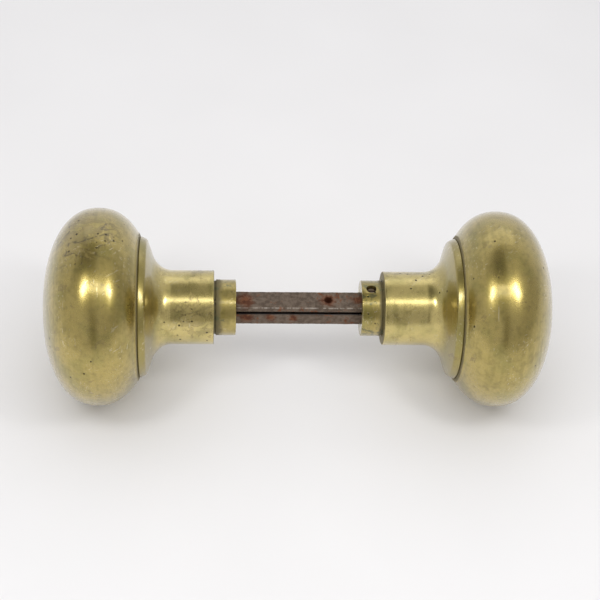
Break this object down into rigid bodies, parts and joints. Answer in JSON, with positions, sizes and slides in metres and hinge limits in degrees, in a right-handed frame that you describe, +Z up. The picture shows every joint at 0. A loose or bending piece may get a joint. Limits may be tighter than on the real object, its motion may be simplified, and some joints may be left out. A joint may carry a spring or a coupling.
{
  "type": "door knob pair",
  "caption": "Pair of round hollow brass door knobs with trumpet necks on a square split spindle, held by headless set screws.",
  "frame": {"origin": "on the spindle's axis, midway between the two knobs", "axes": "+X along the spindle to the right knob, +Z up, through the flat of the wedge bar and the right set screw"},
  "size_m": [0.1468, 0.0572, 0.0572],
  "materials": {
    "bulb_brass": "aged satin brass, spun, worn and lightly stained",
    "neck_brass": "aged satin brass, drawn, brighter on the tube",
    "shank_brass": "aged turned brass with dark grime in the corner",
    "bar_steel": "rusty steel, grey brown with orange patches and bright worn corners",
    "screw_steel": "rusty dark steel",
    "plate_steel": "plain pressed steel"
  },
  "bodies": {
    "spindle": {"back_bar": "bar_steel"},
    "wedge": {"wedge_bar": "bar_steel"},
    "front_half": {"front_bar": "bar_steel"},
    "right_knob": {"right_bulb_shell": "bulb_brass", "right_neck": "neck_brass", "right_shank": "shank_brass", "right_anchor_plate": "plate_steel"},
    "right_screw": {"right_set_screw": "screw_steel"},
    "left_knob": {"left_bulb_shell": "bulb_brass", "left_neck": "neck_brass", "left_shank": "shank_brass", "left_anchor_plate": "plate_steel"},
    "left_screw": {"left_set_screw": "screw_steel"}
  },
  "joints": [
    {"name": "wedge_slide", "type": "slide", "parent": "spindle", "child": "wedge", "axis": [0, 0.7071, 0.7071], "range_m": [0, 0.00015]},
    {"name": "front_bar_slide", "type": "slide", "parent": "spindle", "child": "front_half", "axis": [0, 1, 0], "range_m": [0, 0.00022]},
    {"name": "right_knob_slide", "type": "slide", "parent": "spindle", "child": "right_knob", "axis": [1, 0, 0], "range_m": [-0.012, 0.03]},
    {"name": "right_set_screw_out", "type": "slide", "parent": "right_knob", "child": "right_screw", "axis": [0, 0, 1], "range_m": [0, 0.0045]},
    {"name": "left_knob_slide", "type": "slide", "parent": "spindle", "child": "left_knob", "axis": [-1, 0, 0], "range_m": [-0.012, 0.03]},
    {"name": "left_set_screw_out", "type": "slide", "parent": "left_knob", "child": "left_screw", "axis": [0, 1, 0], "range_m": [0, 0.0045]}
  ],
  "couplings": [
    {"joint": "front_bar_slide", "follows": "wedge_slide", "ratio": 1.4142}
  ]
}
